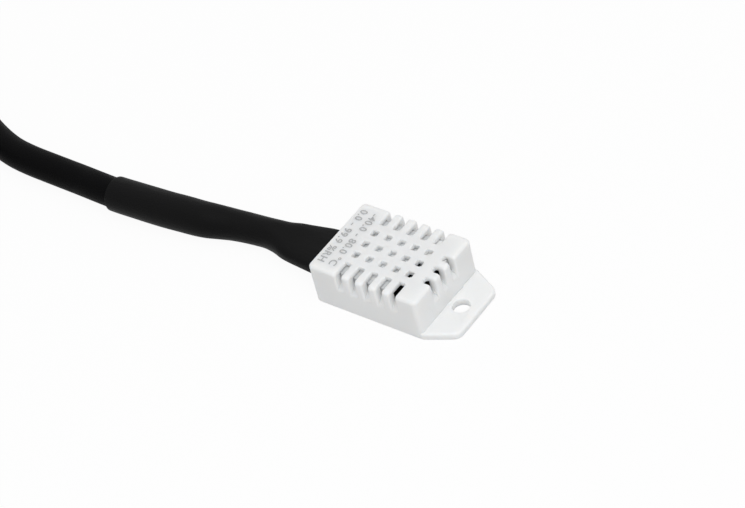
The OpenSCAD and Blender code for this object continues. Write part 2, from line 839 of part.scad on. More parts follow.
front_shell();
back_cover();
circuit_board();
pin_header();
pin(1);  // pin_1
pin(2);  // pin_2
pin(3);  // pin_3
pin(4);  // pin_4
board_solder();
element_frame();
humidity_substrate();
humidity_electrodes();
sensing_film();
element_leads();
thermistor_bead();
thermistor_leads();
controller_chip();
controller_leads();
chip_capacitors();
chip_resistors();
solder_joints();
core_red();
core_yellow();
core_black();
boot();
cable_run();
cable_hank();
cable_tail();
hank_tie();
lead_red();
lead_yellow();
lead_black();
tip_red();
tip_yellow();
tip_black();
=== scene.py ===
import math

import bmesh
import bpy
from mathutils import Matrix, Vector, geometry


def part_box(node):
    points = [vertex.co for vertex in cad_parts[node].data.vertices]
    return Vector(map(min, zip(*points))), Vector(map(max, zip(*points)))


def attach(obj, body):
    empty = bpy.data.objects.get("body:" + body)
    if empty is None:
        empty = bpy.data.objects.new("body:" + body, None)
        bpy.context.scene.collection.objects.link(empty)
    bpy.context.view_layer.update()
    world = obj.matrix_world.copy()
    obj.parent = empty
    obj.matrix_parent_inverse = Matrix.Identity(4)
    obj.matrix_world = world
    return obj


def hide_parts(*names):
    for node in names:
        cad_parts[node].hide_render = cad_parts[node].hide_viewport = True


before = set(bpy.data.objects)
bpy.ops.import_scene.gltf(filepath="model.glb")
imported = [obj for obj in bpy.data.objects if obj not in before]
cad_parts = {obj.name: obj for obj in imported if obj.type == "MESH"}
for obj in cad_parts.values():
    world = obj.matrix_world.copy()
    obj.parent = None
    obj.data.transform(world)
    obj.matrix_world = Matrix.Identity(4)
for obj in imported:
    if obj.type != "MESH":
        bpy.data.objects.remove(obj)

scene = bpy.context.scene
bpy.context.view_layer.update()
mm = 0.001

# The camera: a long lens about 0.4 m away, looking down on the grille from the near corner at the
# ear end, and rolled so that the cable climbs to the upper left of the picture.
picture_w = 745
focal_px = 2680.45
sensor_w = 36
azimuth = math.radians(45.514)
elevation = math.radians(42.935)
roll = math.radians(-14.869)
distance = 404.457 * mm
slide_right = 3.0935 * mm
slide_up = -2.4145 * mm
case_middle = Vector((0, 0, 3.85 * mm))

back = Vector((math.sin(azimuth) * math.cos(elevation), -math.cos(azimuth) * math.cos(elevation),
               math.sin(elevation)))
level = Vector((0, 0, 1)).cross(back).normalized()
rise = back.cross(level)
right = math.cos(roll) * level + math.sin(roll) * rise
up = math.cos(roll) * rise - math.sin(roll) * level
place = case_middle + back * distance - right * slide_right - up * slide_up

lens = bpy.data.cameras.new("camera")
lens.sensor_width = sensor_w
lens.lens = focal_px * sensor_w / picture_w
lens.clip_start = 0.01
camera = bpy.data.objects.new("camera", lens)
camera.matrix_world = Matrix.Translation(place) @ Matrix((right, up, back)).transposed().to_4x4()
scene.collection.objects.link(camera)
scene.camera = camera

# The cable: three cores in a round jacket of soft black PVC, pushed into the boot and glued there.
# It lies on the table, and its spare length is folded into an oval hank of two layers.
case_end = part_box("front_shell")[0][0] / mm
cable_d = 5
jacket_r = cable_d / 2
jacket_sides, cable_step = 32, 1.2
boot_r, boot_l = 2.97, 42.7
in_boot = boot_r - jacket_r
hank_lift = 0.6

# The way inside the boot: out from the case, to the side, and how far the boot is drawn in there
sleeved_route = [
    (24, -2.37, 0.1), (26, -2.72, 0.04), (29, -3.02, 0), (32, -3.32, 0), (35, -3.52, 0), (38, -3.67, 0.02),
    (41, -3.82, 0.04), (boot_l, -3.86, 0.06),
]
# The way past the boot: out from the case, to the side, and up from the table
open_route = [
    (46.5, -3.72, 0.3), (50, -3.45, 0.05), (54, -3.36, 0), (58, -3.3, 0), (62, -3.2, 0), (66, -2.8, 0),
    (70, -1.8, 0.05), (74.5, -0.1, 0.15), (79, 2, 0.3), (83.5, 4, 0.45), (87, 5.1, 0.55),
    (89, 5.3, hank_lift), (93.5, 5.3, hank_lift),
]
cable_route = [(out, side, in_boot - drawn) for out, side, drawn in sleeved_route] + open_route
cable_line = [Vector((case_end - out, side, jacket_r + lift)) for out, side, lift in cable_route]

hank_run = 25
hank_turns = 1.25
loop_rings, run_rings, bend_rings = 24, 3, 9
hank_inner_r = 3 * cable_d
hank_gap = 0.55
hank_pitch = cable_d + hank_gap
hank_rings = round(2 * hank_turns * loop_rings)
hank_middle = cable_line[-1] - Vector((cable_d, hank_inner_r + hank_turns * hank_pitch, 0))


def hank_point(ring):
    """A point of the hank's line: a run out, a bend, a run back and a bend, spiralling in and then out."""
    step = ring % loop_rings
    half = run_rings + bend_rings
    back_way, step = divmod(step, half)
    along = min(step / run_rings, 1)
    x = -hank_run * (along if back_way == 0 else 1 - along)
    angle = math.pi * (0.5 + back_way + max(step - run_rings, 0) / bend_rings)
    r = hank_inner_r + abs(ring - hank_rings / 2) / loop_rings * hank_pitch
    climb = min(max(ring / half - hank_turns * loop_rings / half + 0.5, 0), 1)
    layer = climb * climb * (3 - 2 * climb)
    return hank_middle + Vector((x + r * math.cos(angle), r * math.sin(angle), layer * hank_pitch))


cable_line += [hank_point(ring) for ring in range(hank_rings + 1)]
hank_out = cable_line[-1] + Vector((cable_d, 0, 0))
tail_route = [(0, 0, 0), (6, -0.25, -0.2), (12, -0.5, -0.8), (18, -0.8, -1.7), (23, -0.9, -2.5)]
cable_line += [hank_out + Vector(point) for point in tail_route]
cable_end = cable_line[-1]


def smooth_line(points, step):
    """Points about one step apart on a smooth curve through the given points."""
    line = []
    for i in range(len(points) - 1):
        a, b = points[i], points[i + 1]
        before = points[i - 1] if i > 0 else a * 2 - b
        after = points[i + 2] if i + 2 < len(points) else b * 2 - a
        count = max(1, round((b - a).length / step))
        for k in range(count):
            t = k / count
            line.append(0.5 * (2 * a + (b - before) * t + (2 * before - 5 * a + 4 * b - after) * t * t
                               + (3 * a - before - 3 * b + after) * t ** 3))
    return line + [points[-1]]


def laid_line(points, step, r):
    """A smooth line for a cord of that radius, which nowhere dips into the table."""
    line = smooth_line(points, step)
    for point in line:
        point.z = max(point.z, r)
    return line


def placed(name, shape):
    """An object from a shape, which is used up."""
    piece = bpy.data.objects.new(name, bpy.data.meshes.new(name))
    shape.to_mesh(piece.data)
    shape.free()
    scene.collection.objects.link(piece)
    return piece


def skin(name, rings, closed=False):
    """A mesh over rings of points in millimetres, with a UV map of turns round and millimetres along."""
    shape = bmesh.new()
    uv = shape.loops.layers.uv.new("UVMap")
    loops = [[shape.verts.new(point * mm) for point in ring] for ring in rings]
    sides = len(rings[0])
    along = [0]
    for a, b in zip(rings, rings[1:] + rings[:1]):
        along.append(along[-1] + (b[0] - a[0]).length)
    for i in range(len(rings) if closed else len(rings) - 1):
        a, b = loops[i], loops[(i + 1) % len(rings)]
        for k in range(sides):
            n = (k + 1) % sides
            face = shape.faces.new((a[k], a[n], b[n], b[k]))
            face.smooth = True
            for loop, place in zip(face.loops, ((k, i), (k + 1, i), (k + 1, i + 1), (k, i + 1))):
                loop[uv].uv = (place[0] / sides, along[place[1]])
    if not closed:
        shape.faces.new(loops[0][::-1])
        shape.faces.new(loops[-1])
    bmesh.ops.recalc_face_normals(shape, faces=shape.faces)
    return placed(name, shape)


def tube(name, line, r, sides):
    """A round tube along a line that never stands upright, with its ends square to X."""
    rings = []
    for i, point in enumerate(line):
        way = line[min(i + 1, len(line) - 1)] - line[max(i - 1, 0)]
        if i in (0, len(line) - 1):
            way = Vector((way.x, 0, 0))
        way.normalize()
        side = way.cross(Vector((0, 0, 1))).normalized()
        top = side.cross(way)
        turns = [2 * math.pi * k / sides for k in range(sides)]
        rings.append([point + r * math.cos(t) * side + r * math.sin(t) * top for t in turns])
    return skin(name, rings)


def material(name, colour, roughness, specular=0.5, metallic=0.0):
    """A material with one Principled shader, whose plain values are set on its own sockets."""
    made = bpy.data.materials.new(name)
    made.use_nodes = True
    shader = made.node_tree.nodes["Principled BSDF"]
    shader.inputs["Base Color"].default_value = (*colour, 1)
    shader.inputs["Roughness"].default_value = roughness
    shader.inputs["Specular IOR Level"].default_value = specular
    shader.inputs["Metallic"].default_value = metallic
    return made, made.node_tree, shader


def join(tree, source, output, target, socket):
    tree.links.new(source.outputs[output], target.inputs[socket])


def surface_grain():
    """Shader group: a fine grain for bump, roughness and a slight shift of colour, on any vector."""
    group = bpy.data.node_groups.new("surface_grain", "ShaderNodeTree")
    new = group.interface.new_socket
    new("Vector", in_out="INPUT", socket_type="NodeSocketVector")
    new("Grain Scale", in_out="INPUT", socket_type="NodeSocketFloat")
    new("Patch Scale", in_out="INPUT", socket_type="NodeSocketFloat")
    new("Roughness Low", in_out="INPUT", socket_type="NodeSocketFloat")
    new("Roughness High", in_out="INPUT", socket_type="NodeSocketFloat")
    new("Dark", in_out="INPUT", socket_type="NodeSocketColor")
    new("Light", in_out="INPUT", socket_type="NodeSocketColor")
    new("Color", in_out="OUTPUT", socket_type="NodeSocketColor")
    new("Roughness", in_out="OUTPUT", socket_type="NodeSocketFloat")
    new("Height", in_out="OUTPUT", socket_type="NodeSocketFloat")
    source = group.nodes.new("NodeGroupInput")
    result = group.nodes.new("NodeGroupOutput")
    fine = group.nodes.new("ShaderNodeTexNoise")
    fine.inputs["Detail"].default_value = 3
    broad = group.nodes.new("ShaderNodeTexNoise")
    broad.inputs["Detail"].default_value = 4
    tint = group.nodes.new("ShaderNodeMix")
    tint.data_type = "RGBA"
    colour_a, colour_b, colour_out = 6, 7, 2
    spread = group.nodes.new("ShaderNodeMapRange")
    spread.inputs["From Min"].default_value = 0.3
    spread.inputs["From Max"].default_value = 0.7
    for noise, scale in ((fine, "Grain Scale"), (broad, "Patch Scale")):
        join(group, source, "Vector", noise, "Vector")
        join(group, source, scale, noise, "Scale")
    join(group, broad, "Fac", tint, 0)
    join(group, source, "Dark", tint, colour_a)
    join(group, source, "Light", tint, colour_b)
    join(group, broad, "Fac", spread, "Value")
    join(group, source, "Roughness Low", spread, "To Min")
    join(group, source, "Roughness High", spread, "To Max")
    join(group, tint, colour_out, result, "Color")
    join(group, spread, "Result", result, "Roughness")
    join(group, fine, "Fac", result, "Height")
    return group


grain_group = surface_grain()


def grained(name, dark, light, rough, grain, patch, bump, specular=0.5, metallic=0, coordinates="Object",
            stretch=(1, 1, 1)):
    """A material with the surface grain. Grain and patch are counts a metre, and bump is in metres."""
    made, tree, shader = material(name, light, rough[1], specular, metallic)
    spot = tree.nodes.new("ShaderNodeTexCoord")
    turn = tree.nodes.new("ShaderNodeMapping")
    turn.inputs["Scale"].default_value = stretch
    group = tree.nodes.new("ShaderNodeGroup")
    group.node_tree = grain_group
    for socket, value in (("Grain Scale", grain), ("Patch Scale", patch), ("Roughness Low", rough[0]),
                          ("Roughness High", rough[1]), ("Dark", (*dark, 1)), ("Light", (*light, 1))):
        group.inputs[socket].default_value = value
    dent = tree.nodes.new("ShaderNodeBump")
    dent.inputs["Distance"].default_value = bump
    join(tree, spot, coordinates, turn, "Vector")
    join(tree, turn, "Vector", group, "Vector")
    join(tree, group, "Color", shader, "Base Color")
    join(tree, group, "Roughness", shader, "Roughness")
    join(tree, group, "Height", dent, "Height")
    join(tree, dent, "Normal", shader, "Normal")
    return made


jacket = grained("cable_jacket", (0.0025, 0.0025, 0.0027), (0.004, 0.004, 0.0043), (0.42, 0.58), 4, 0.5,
                 0.00004, specular=0.025, coordinates="UV", stretch=(30, 0.4, 1))
cable_points = laid_line(cable_line, cable_step, jacket_r)
cable = tube("cable", cable_points, jacket_r, jacket_sides)
cable.data.materials.append(jacket)
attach(cable, "root")
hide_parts("cable_run", "cable_hank", "cable_tail")

# The strap: a short length of light grey hook and loop tape, wrapped once round the three strands of
# the hank's first run, with its end lapped over itself on top.
strap_w, strap_t, strap_gap = 4, 0.4, 0.1
strap_ease, ease_share = 0.12, 0.3
strap_x = hank_middle.x - hank_run / 2
strands = [hank_point(turn * loop_rings + run_rings / 2) for turn in (0, 1, 2)]
strap_edges = 96


def strap_outline(past):
    """The taut line round the three strands, that far from their jackets, as evenly spaced points."""
    dots = []
    for strand in strands:
        for k in range(strap_edges):
            t = 2 * math.pi * k / strap_edges
            dots.append(Vector((strand.y + (jacket_r + past) * math.cos(t),
                                strand.z + (jacket_r + past) * math.sin(t))))
    outline = [dots[i] for i in geometry.convex_hull_2d(dots)]
    total = sum((b - a).length for a, b in zip(outline, outline[1:] + outline[:1]))
    even = []
    walked = 0
    for a, b in zip(outline, outline[1:] + outline[:1]):
        span = (b - a).length
        while len(even) < strap_edges and len(even) * total / strap_edges < walked + span:
            even.append(a.lerp(b, (len(even) * total / strap_edges - walked) / span))
        walked += span
    return even


def strap_ring(a, b):
    """A strap's cross section between two facing points of its inner and outer outlines, edges eased."""
    half = strap_w / 2
    flat = half - strap_ease
    corners = [(-flat, 0), (flat, 0), (half, ease_share), (half, 1 - ease_share), (flat, 1), (-flat, 1),
               (-half, 1 - ease_share), (-half, ease_share)]
    return [Vector((strap_x + x, *a.lerp(b, share))) for x, share in corners]


inside, outside = strap_outline(strap_gap), strap_outline(strap_gap + strap_t)
strap = skin("strap", [strap_ring(a, b) for a, b in zip(inside, outside)], closed=True)
lap_inside, lap_outside = strap_outline(strap_gap + strap_t), strap_outline(strap_gap + 2 * strap_t)
top_strand = strands[2]
lapped = [strap_ring(a, b) for a, b in zip(lap_inside, lap_outside)
          if a.x > top_strand.y and a.y > top_strand.z]
strap_lap = skin("strap_lap", lapped)
weave = grained("strap_tape", (0.5, 0.5, 0.5), (0.66, 0.66, 0.65), (0.75, 0.95), 2600, 900, 0.00025)
for piece in (strap, strap_lap):
    piece.data.materials.append(weave)
    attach(piece, "root")
    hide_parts("hank_tie")

# The leads: the three cores where the jacket is stripped off, with smooth coloured insulation. Each
# ends in a few millimetres of bare copper strands, twisted and dipped in tin.
lead_r = 0.6
lead_top = cable_end.z - lead_r
lead_routes = {
    "red": [(0, 0.74, lead_top + 0.43), (3, 0.8, lead_top + 0.35), (6, 1.3, lead_top - 0.3),
            (9, 2.2, lead_top - 1.5), (12, 3.2, lead_top - 2.9), (15, 4.2, lead_top - 4),
            (18.5, 5.2, 0.1), (22, 5.9, 0), (26, 6.3, 0), (30, 6.2, 0), (32, 6.1, 0)],
    "yellow": [(0, 0, lead_top - 0.85), (3, 0, lead_top - 1), (6, 0.1, lead_top - 1.7),
               (9, 0.5, lead_top - 2.7), (12, 1, lead_top - 3.6), (15, 1.6, lead_top - 4.3),
               (18.5, 2.2, 0.05), (22, 2.6, 0), (27, 2.8, 0), (31, 2.6, 0), (33, 2.4, 0)],
    "black": [(0, -0.74, lead_top + 0.43), (3, -0.75, lead_top + 0.3), (6, -0.8, lead_top - 0.4),
              (9, -0.85, lead_top - 1.6), (12, -0.9, lead_top - 3), (15, -0.9, lead_top - 4.1),
              (18.5, -0.8, 0.1), (22, -0.6, 0), (26, -0.5, 0), (30, -0.6, 0), (32, -0.8, 0)],
}
insulation_colours = {
    "red": ((0.42, 0.012, 0.012), (0.5, 0.018, 0.016), (0.28, 0.4)),
    "yellow": ((0.68, 0.4, 0.02), (0.76, 0.47, 0.03), (0.28, 0.4)),
    "black": ((0.006, 0.006, 0.006), (0.01, 0.01, 0.01), (0.3, 0.42)),
}
insulation = {colour: grained(colour + "_insulation", dark, light, rough, 3000, 300, 0.00002)
              for colour, (dark, light, rough) in insulation_colours.items()}
tin = grained("tin_plate", (0.56, 0.56, 0.54), (0.74, 0.73, 0.71), (0.24, 0.42), 1600, 420, 0.00002,
              metallic=1)
lead_sides, core_step = 20, 0.8
tip_l, tip_turn = 5, 1.1
strand_r, strand_count, strand_sides, strand_steps = 0.12, 7, 8, 16

for colour, route in lead_routes.items():
    bends = [cable_end + Vector((x, y, lead_r + z - cable_end.z)) for x, y, z in route]
    points = laid_line(bends, core_step, lead_r)
    lead = tube(colour + "_lead", points, lead_r, lead_sides)
    lead.data.materials.append(insulation[colour])
    end = points[-1]
    bundle = bmesh.new()
    for k in range(strand_count):
        reach = 0 if k == 0 else 2 * strand_r
        wound = []
        for step in range(strand_steps + 1):
            t = 2 * math.pi * (k / (strand_count - 1) + tip_turn * step / strand_steps)
            along = tip_l * step / strand_steps
            wound.append(end + Vector((along, reach * math.cos(t), reach * math.sin(t))))
        strand = tube("strand", wound, strand_r, strand_sides)
        bundle.from_mesh(strand.data)
        bpy.data.objects.remove(strand)
    tip = placed("tip_strands_" + colour, bundle)
    tip.data.materials.append(tin)
    for piece, slot, node in ((lead, "core_" + colour, "lead_" + colour),
                              (tip, "tinned_metal", "tip_" + colour)):
        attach(piece, "root")
        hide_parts(node)

# The boot: a length of black heat-shrink sleeve over the soldered pins and the end of the cable. Heat has
# drawn it flat over the pins, into a round neck over the cores, and tight on the jacket.
pin_height = 2.4
pin_rows = (3.81, 1.27, -1.27, -3.81)
flat, thin, neck = 4.55, 1.4, 2.45
flat_wall, round_wall = 0.3, 0.32
boot_stations = [
    (0, 0, flat, thin, flat_wall), (2, 0, flat - 0.05, thin, flat_wall), (4, 0, flat - 0.2, thin, flat_wall),
    (6.5, -0.15, flat - 0.55, thin + 0.05, flat_wall), (8, -0.25, flat - 0.8, thin + 0.2, flat_wall),
    (9.5, -0.3, flat - 1.1, thin + 0.45, flat_wall), (11, -0.35, flat - 1.6, thin + 0.7, flat_wall),
    (12.5, -0.35, neck + 0.18, neck - 0.07, round_wall), (14, -0.45, neck, neck, round_wall),
    (16, -0.66, neck, neck, round_wall), (18, -0.93, neck + 0.04, neck + 0.04, round_wall),
    (20, -1.3, neck + 0.11, neck + 0.11, round_wall), (22, -1.82, boot_r - 0.26, boot_r - 0.26, round_wall),
]
boot_stations += [(out, side, boot_r - drawn, boot_r - drawn, round_wall)
                  for out, side, drawn in sleeved_route]
boot_sides, boot_step = 96, 0.6
boot_lip, lip_steps = 0.15, 4
squarest, squaring = 3.5, 0.7
ridge_h, ridge_w, ridge_l, ridge_fade = 0.07, 0.4, 4.5, 2


def boot_ring(station, inset, shorten=0, ridges=True):
    """The sleeve's outline at one place: flat with tight corners over the pins, round over the cable."""
    out, side, outer_a, outer_b, height = station[:5]
    height = max(height, outer_b)
    a, b = outer_a - inset, outer_b - inset
    power = 2 / min(squarest, 2 + squaring * (a / b - 1))
    fade = min(max((ridge_l + ridge_fade / 2 - out) / ridge_fade, 0), 1) * min(out, 1) * ridges
    ring = []
    for k in range(boot_sides):
        t = 2 * math.pi * k / boot_sides
        c, s = math.cos(t), math.sin(t)
        y = a * math.copysign(abs(c) ** power, c)
        z = b * math.copysign(abs(s) ** power, s)
        z += fade * ridge_h * s * sum(math.exp(-((y - row) / ridge_w) ** 2) for row in pin_rows)
        ring.append(Vector((case_end - out + shorten, side + y, height + z)))
    return ring


stations = smooth_line([Vector((out, side, a, b, max(pin_height, b), wall))
                        for out, side, a, b, wall in boot_stations], boot_step)
outer_rings = [boot_ring(station, 0) for station in stations[:-1]]
for k in range(lip_steps + 1):
    t = k * math.pi / (2 * lip_steps)
    outer_rings.append(boot_ring(stations[-1], boot_lip * (1 - math.cos(t)), boot_lip * (1 - math.sin(t))))
inner_rings = [boot_ring(station, station[5], ridges=False) for station in stations]
boot = skin("heat_shrink_boot", outer_rings + inner_rings[::-1], closed=True)
sleeve = grained("shrunk_sleeve", (0.0035, 0.0035, 0.0036), (0.0058, 0.0058, 0.006), (0.42, 0.55), 1500, 160,
                 0.00006, specular=0.06, stretch=(0.35, 1, 1))
boot.data.materials.append(sleeve)
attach(boot, "root")
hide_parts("boot")

# The case: one moulding of white plastic, with the vent grille in its face, slots over three of its edges
# and the screw ear at its end. Every outer rim is eased, as it leaves the mould.
body_l, body_w, body_h = 20, 15.1, 7.7
wall_t, grille_t = 1.3, 0.8
corner_r, edge_r, rim_r, vent_rim_r, vent_corner_r = 0.8, 0.55, 0.38, 0.32, 0.16
post_w, cover_t = 1.4, 1
vent_pitch, vent_w, vent_shift = 2.5, 1.08, 0.7
side_reach, side_floor = 3.1, 4.2
end_reach, end_floor, end_slot_r = 1.75, 3.8, 0.42
half_l, half_w = body_l / 2, body_w / 2
inner_x, inner_y = half_l - wall_t, half_w - wall_t
grille_under = body_h - grille_t
columns = [vent_shift + k * vent_pitch for k in (-2, -1, 0, 1, 2)]
rows = [k * vent_pitch for k in (-1, 0, 1)]


def within(value, middles, width):
    return any(abs(value - middle) < width / 2 for middle in middles)


def moulded(x, y, z):
    """Whether the case has plastic at a point in millimetres, while the floors of its slots are level."""
    if z < cover_t and abs(x) < inner_x and abs(y) < inner_y:
        return False
    if z < grille_under and abs(x) < inner_x and abs(y) < inner_y:
        if abs(x) < inner_x - post_w or abs(y) < inner_y - post_w:
            return False
    in_column, in_row = within(x, columns, vent_w), within(y, rows, vent_w)
    if in_column and in_row and z > grille_under:
        return False
    if in_column and abs(y) > half_w - side_reach and z > side_floor:
        return False
    return not (in_row and x > half_l - end_reach and z > end_floor)


def both_ways(values):
    return [sign * value for value in values for sign in (-1, 1)]


def edges_of(middles, width):
    return [middle + side * width / 2 for middle in middles for side in (-1, 1)]


column_edges, row_edges = edges_of(columns, vent_w), edges_of(rows, vent_w)
xs = sorted(both_ways([half_l, inner_x, inner_x - post_w]) + column_edges + [half_l - end_reach])
ys = sorted(both_ways([half_w, inner_y, inner_y - post_w, half_w - side_reach]) + row_edges)
zs = [0, cover_t, end_floor, side_floor, grille_under, body_h]


def inside_block(i, j, k):
    return 0 <= i < len(xs) - 1 and 0 <= j < len(ys) - 1 and 0 <= k < len(zs) - 1


def is_plastic(i, j, k):
    """Whether the block between neighbouring cut planes is plastic."""
    if not inside_block(i, j, k):
        return False
    return moulded((xs[i] + xs[i + 1]) / 2, (ys[j] + ys[j + 1]) / 2, (zs[k] + zs[k + 1]) / 2)


block_sides = {
    (1, 0, 0): ((1, 0, 0), (1, 1, 0), (1, 1, 1), (1, 0, 1)),
    (-1, 0, 0): ((0, 0, 0), (0, 0, 1), (0, 1, 1), (0, 1, 0)),
    (0, 1, 0): ((0, 1, 0), (0, 1, 1), (1, 1, 1), (1, 1, 0)),
    (0, -1, 0): ((0, 0, 0), (1, 0, 0), (1, 0, 1), (0, 0, 1)),
    (0, 0, 1): ((0, 0, 1), (1, 0, 1), (1, 1, 1), (0, 1, 1)),
    (0, 0, -1): ((0, 0, 0), (0, 1, 0), (1, 1, 0), (1, 0, 0)),
}
outer_skin = 1
shape = bmesh.new()
corners = {}
for i in range(len(xs) - 1):
    for j in range(len(ys) - 1):
        for k in range(len(zs) - 1):
            if not is_plastic(i, j, k):
                continue
            for (di, dj, dk), side in block_sides.items():
                beyond = (i + di, j + dj, k + dk)
                if is_plastic(*beyond):
                    continue
                ring = []
                for a, b, c in side:
                    spot = (i + a, j + b, k + c)
                    if spot not in corners:
                        corners[spot] = shape.verts.new((xs[spot[0]], ys[spot[1]], zs[spot[2]]))
                    ring.append(corners[spot])
                shape.faces.new(ring).material_index = 0 if inside_block(*beyond) else outer_skin

# The floor of each slot falls outwards through the wall at 45 degrees
for (i, j, k), corner in corners.items():
    if zs[k] == side_floor and abs(ys[j]) == inner_y and xs[i] in column_edges:
        corner.co.z = side_floor + wall_t
    if zs[k] in (end_floor, side_floor) and xs[i] == inner_x and ys[j] in row_edges:
        corner.co.z = end_floor + wall_t + (zs[k] - end_floor) / 2

same_place = 1e-4
sharp_angle = math.radians(40)
slack, vent_room = 0.1, 0.5


def ease_edges(shape, test, r, steps):
    """Rounds the edges that pass the test."""
    shape.normal_update()
    chosen = [edge for edge in shape.edges if len(edge.link_faces) == 2 and test(edge)]
    bmesh.ops.bevel(shape, geom=chosen, offset=r, segments=steps, profile=0.5, affect="EDGES",
                    clamp_overlap=False, material=-1)


def near(a, b):
    return abs(a - b) < same_place


def sharp(edge):
    return edge.calc_face_angle(0) > sharp_angle


def upright(edge):
    a, b = (vert.co for vert in edge.verts)
    return sharp(edge) and near(a.x, b.x) and near(a.y, b.y)


def end_slot_corner(edge):
    return upright(edge) and near(edge.verts[0].co.x, half_l - end_reach)


def vent_corner(edge):
    a, b = (vert.co for vert in edge.verts)
    off_walls = abs(a.x) < half_l - end_reach - slack and abs(a.y) < half_w - side_reach + slack
    return upright(edge) and off_walls and min(a.z, b.z) > grille_under - slack


def case_corner(edge):
    return all(near(abs(vert.co.x), half_l) and near(abs(vert.co.y), half_w) for vert in edge.verts)


def on_skin(edge):
    return [face.material_index == outer_skin for face in edge.link_faces]


def face_border(edge):
    return sharp(edge) and all(on_skin(edge)) and all(near(vert.co.z, body_h) for vert in edge.verts)


def rim(edge):
    return sharp(edge) and any(on_skin(edge))


def inland(edge):
    """Whether an edge lies among the openings of the grille, away from the slots."""
    most_x, most_y = half_l - end_reach - vent_room, half_w - side_reach - vent_room
    return all(vert.co.x < most_x and abs(vert.co.y) < most_y and vert.co.z > grille_under - slack
               for vert in edge.verts)


def vent_rim(edge):
    return rim(edge) and inland(edge)


def slot_rim(edge):
    return rim(edge) and not inland(edge)


case_edges = ((end_slot_corner, end_slot_r, 5), (vent_corner, vent_corner_r, 3), (case_corner, corner_r, 7),
              (face_border, edge_r, 6), (slot_rim, rim_r, 4), (vent_rim, vent_rim_r, 4))
for test, r, steps in case_edges:
    ease_edges(shape, test, r, steps)

ear_l, ear_tip_w, ear_t, ear_corner_r = 5.1, 10.2, 1.3, 1.75
ear_root, ear_inset, ear_corner_steps = 0.7, 0.02, 12
ear_hole_r, ear_hole_x, hole_sides = 1.4, half_l + 2.05, 64
ear_rim_r, hole_rim_r = 0.38, 0.08
slope = Vector((ear_l, (ear_tip_w - body_w) / 2)).normalized()
lean = math.atan2(slope.x, -slope.y)
corner_x = half_l + ear_l - ear_corner_r
corner_y = ear_tip_w / 2 - ear_corner_r * (1 + slope.y) / slope.x
ear_line = [(half_l - ear_root, half_w - ear_inset), (half_l, half_w - ear_inset)]
for k in range(ear_corner_steps + 1):
    t = lean * (1 - k / ear_corner_steps)
    ear_line.append((corner_x + ear_corner_r * math.cos(t), corner_y + ear_corner_r * math.sin(t)))
ear_line += [(x, -y) for x, y in reversed(ear_line)]
hole_turns = [2 * math.pi * k / hole_sides for k in range(hole_sides)]
hole_line = [(ear_hole_x + ear_hole_r * math.cos(t), ear_hole_r * math.sin(t)) for t in hole_turns]
plate = bmesh.new()
borders = []
for line in (ear_line, hole_line):
    dots = [plate.verts.new((x, y, 0)) for x, y in line]
    borders += [plate.edges.new((a, b)) for a, b in zip(dots, dots[1:] + dots[:1])]
bottom = bmesh.ops.triangle_fill(plate, edges=borders, use_beauty=True)["geom"]
faces = [part for part in bottom if isinstance(part, bmesh.types.BMFace)]
raised = bmesh.ops.extrude_face_region(plate, geom=faces)
for part in raised["geom"]:
    if isinstance(part, bmesh.types.BMVert):
        part.co.z = ear_t
bmesh.ops.recalc_face_normals(plate, faces=plate.faces)


def hole_rim(edge):
    reach = max(math.hypot(vert.co.x - ear_hole_x, vert.co.y) for vert in edge.verts)
    return sharp(edge) and reach < ear_hole_r + slack


def ear_rim(edge):
    return sharp(edge) and not hole_rim(edge)


ease_edges(plate, ear_rim, ear_rim_r, 4)
ease_edges(plate, hole_rim, hole_rim_r, 2)


def plain(piece):
    """Turns an object's modifiers into its mesh."""
    mesh = bpy.data.meshes.new_from_object(piece.evaluated_get(bpy.context.evaluated_depsgraph_get()))
    piece.modifiers.clear()
    piece.data = mesh


def finished(name, shape):
    """A plain piece in metres, whose flat faces stay flat to the eye beside their eased edges."""
    shape.normal_update()
    for face in shape.faces:
        face.smooth = True
        face.material_index = 0
    for edge in shape.edges:
        edge.smooth = not sharp(edge)
    piece = placed(name, shape)
    piece.data.transform(Matrix.Scale(mm, 4))
    piece.modifiers.new("even", "WEIGHTED_NORMAL").keep_sharp = True
    plain(piece)
    return piece


pin_hole, merge_gap = 0.6, 0.001
pin_way = Matrix.Diagonal((3 * wall_t, pin_hole, pin_hole, 1))
pin_holes = bmesh.new()
for row in pin_rows:
    there = Matrix.Translation((-half_l, row, pin_height))
    bmesh.ops.create_cube(pin_holes, size=1, matrix=there @ pin_way)
block, ear, cores = placed("block", shape), placed("ear", plate), placed("pin_holes", pin_holes)
for operation, part in (("UNION", ear), ("DIFFERENCE", cores)):
    melt = block.modifiers.new("melt", "BOOLEAN")
    melt.operation, melt.solver, melt.object = operation, "EXACT", part
plain(block)
shape = bmesh.new()
shape.from_mesh(block.data)
bmesh.ops.remove_doubles(shape, verts=shape.verts, dist=merge_gap)
for part in (block, ear, cores):
    bpy.data.objects.remove(part)
case = finished("sensor_case", shape)
light_depth = 1
white = grained("white_plastic", (0.86, 0.868, 0.868), (0.885, 0.893, 0.893), (0.4, 0.5), 2200, 140, 0.00003)
soft_light = white.node_tree.nodes["Principled BSDF"].inputs
soft_light["Subsurface Weight"].default_value = 1
soft_light["Subsurface Radius"].default_value = (1, 0.95, 0.9)
soft_light["Subsurface Scale"].default_value = light_depth * mm
case.data.materials.append(white)
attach(case, "root")
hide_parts("front_shell")

# The back cover: a plate of the same white plastic, let into the back of the case and glued. The four posts
# on its inner side carry the board.
def dress(node, finish):
    """Gives a CAD node its finish."""
    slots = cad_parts[node].data.materials
    slots.clear()
    slots.append(finish)


cover_plastic = grained("cover_plastic", (0.84, 0.848, 0.848), (0.87, 0.878, 0.878), (0.42, 0.54), 1900, 120,
                        0.00004)
dress("back_cover", cover_plastic)

